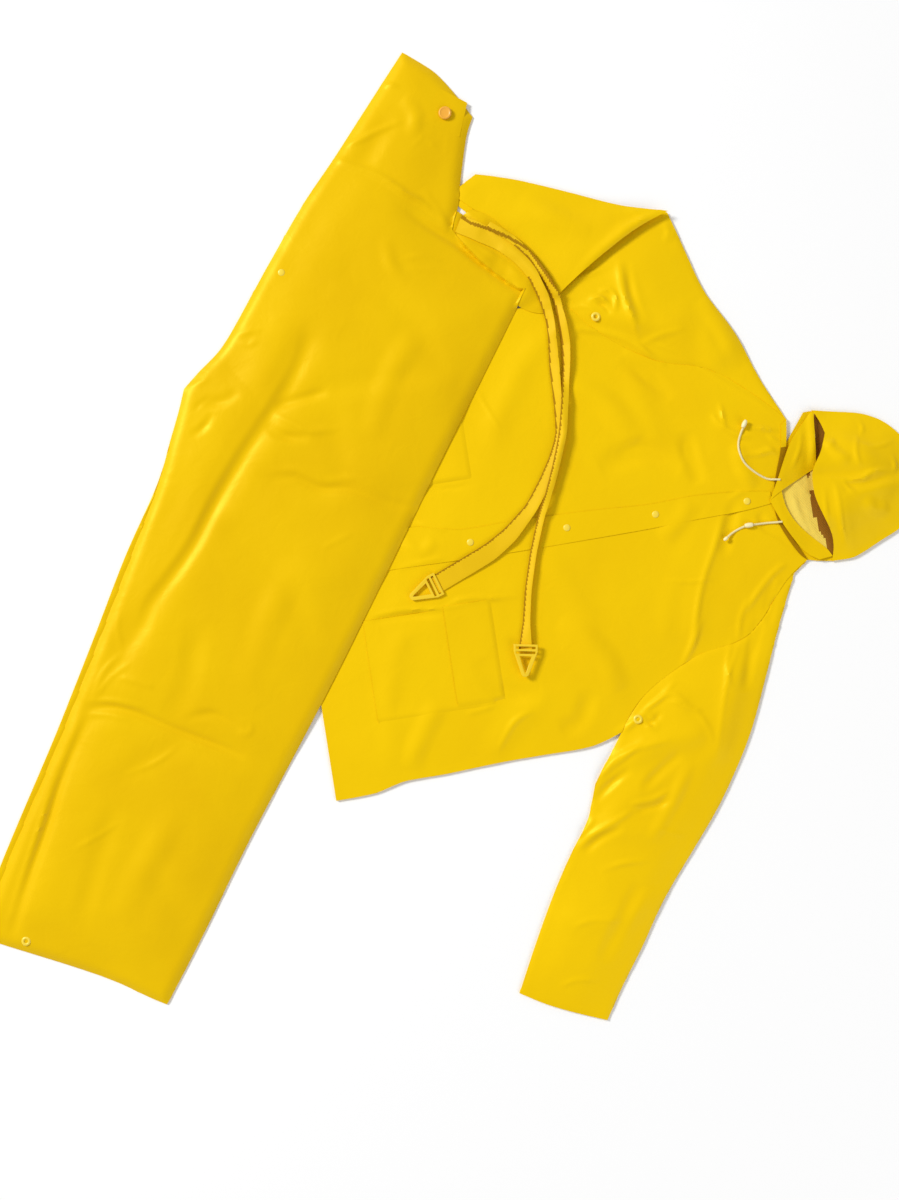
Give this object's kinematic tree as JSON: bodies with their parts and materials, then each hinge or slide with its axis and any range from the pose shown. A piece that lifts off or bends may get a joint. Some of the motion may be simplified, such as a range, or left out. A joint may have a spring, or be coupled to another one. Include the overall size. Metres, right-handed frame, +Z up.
{
  "type": "rain suit",
  "caption": "Flat-laid waterproof rain suit: hooded raglan jacket front up with a sleeve turned back, bib trousers folded in half over its hem, braces and drawcord ends on top.",
  "frame": {"origin": "middle of the suit's outline as it lies, on the surface under it", "axes": "+Z up from the surface, +Y towards the top of the bib, +X towards the hood"},
  "size_m": [1.3474, 1.3724, 0.0287],
  "materials": {
    "coated_cloth": "yellow coated waterproof cloth, satin",
    "trouser_cloth": "yellow coated waterproof cloth, satin",
    "cloth_reverse": "pale yellow knitted backing of the coated cloth",
    "elastic_webbing": "woven elastic, yellow",
    "clip_plastic": "moulded yellow plastic",
    "button_plastic": "moulded orange plastic",
    "snap_plastic": "moulded yellow plastic",
    "drawcord": "braided ivory cord",
    "cord_fitting": "ivory plastic"
  },
  "bodies": {
    "root": {"jacket_back": "coated_cloth", "jacket_front_left": "coated_cloth", "jacket_front_right": "coated_cloth", "storm_flap": "coated_cloth", "neck_binding": "coated_cloth", "pocket_left": "coated_cloth", "pocket_right": "coated_cloth", "pocket_flap_left": "coated_cloth", "pocket_flap_right": "coated_cloth", "sleeve_left_under": "coated_cloth", "sleeve_left_upper": "coated_cloth", "sleeve_right_under": "coated_cloth", "sleeve_right_upper": "coated_cloth", "sleeve_right_turnback": "coated_cloth", "hood_back": "cloth_reverse", "hood_shell": "coated_cloth", "hood_facing_upper": "coated_cloth", "hood_facing_lower": "coated_cloth", "trousers_folded_layers": "trouser_cloth", "trousers_front": "trouser_cloth", "trousers_back_panel": "trouser_cloth", "button_patch": "trouser_cloth", "brace_left": "elastic_webbing", "brace_right": "elastic_webbing", "brace_clip_left": "clip_plastic", "brace_clip_right": "clip_plastic", "bib_button": "button_plastic", "press_snap_1": "snap_plastic", "press_snap_2": "snap_plastic", "press_snap_3": "snap_plastic", "press_snap_4": "snap_plastic", "vent_eyelet_1": "snap_plastic", "vent_eyelet_2": "snap_plastic", "fly_snap": "snap_plastic", "ankle_snap": "snap_plastic", "drawcord_upper": "drawcord", "drawcord_lower": "drawcord", "drawcord_toggle": "cord_fitting", "drawcord_bead": "cord_fitting", "drawcord_end_knob": "cord_fitting"}
  },
  "joints": []
}
